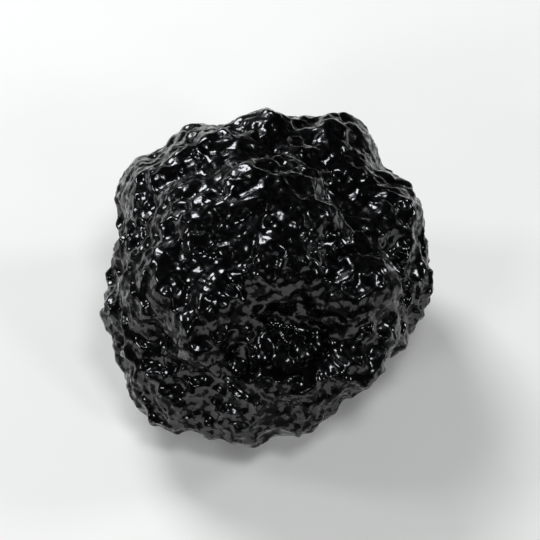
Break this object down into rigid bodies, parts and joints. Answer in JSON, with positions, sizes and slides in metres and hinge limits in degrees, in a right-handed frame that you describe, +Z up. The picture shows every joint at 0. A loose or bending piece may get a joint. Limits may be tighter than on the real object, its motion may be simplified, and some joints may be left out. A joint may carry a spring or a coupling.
{
  "type": "tektite",
  "caption": "Lump of black natural glass, a thick rounded button with pitted lumps and hollows on its face and a small worn flat on which it lies.",
  "frame": {"origin": "on the resting surface, below the middle of the lump's box", "axes": "+Z up from the resting surface, +Y from the front of the lump to its back along its longest side, +X to the right"},
  "size_m": [0.0154, 0.016, 0.0118],
  "materials": {
    "tektite_glass": "black, opaque, glossy, etched all over with small pits"
  },
  "bodies": {
    "root": {"tektite": "tektite_glass"}
  },
  "joints": []
}
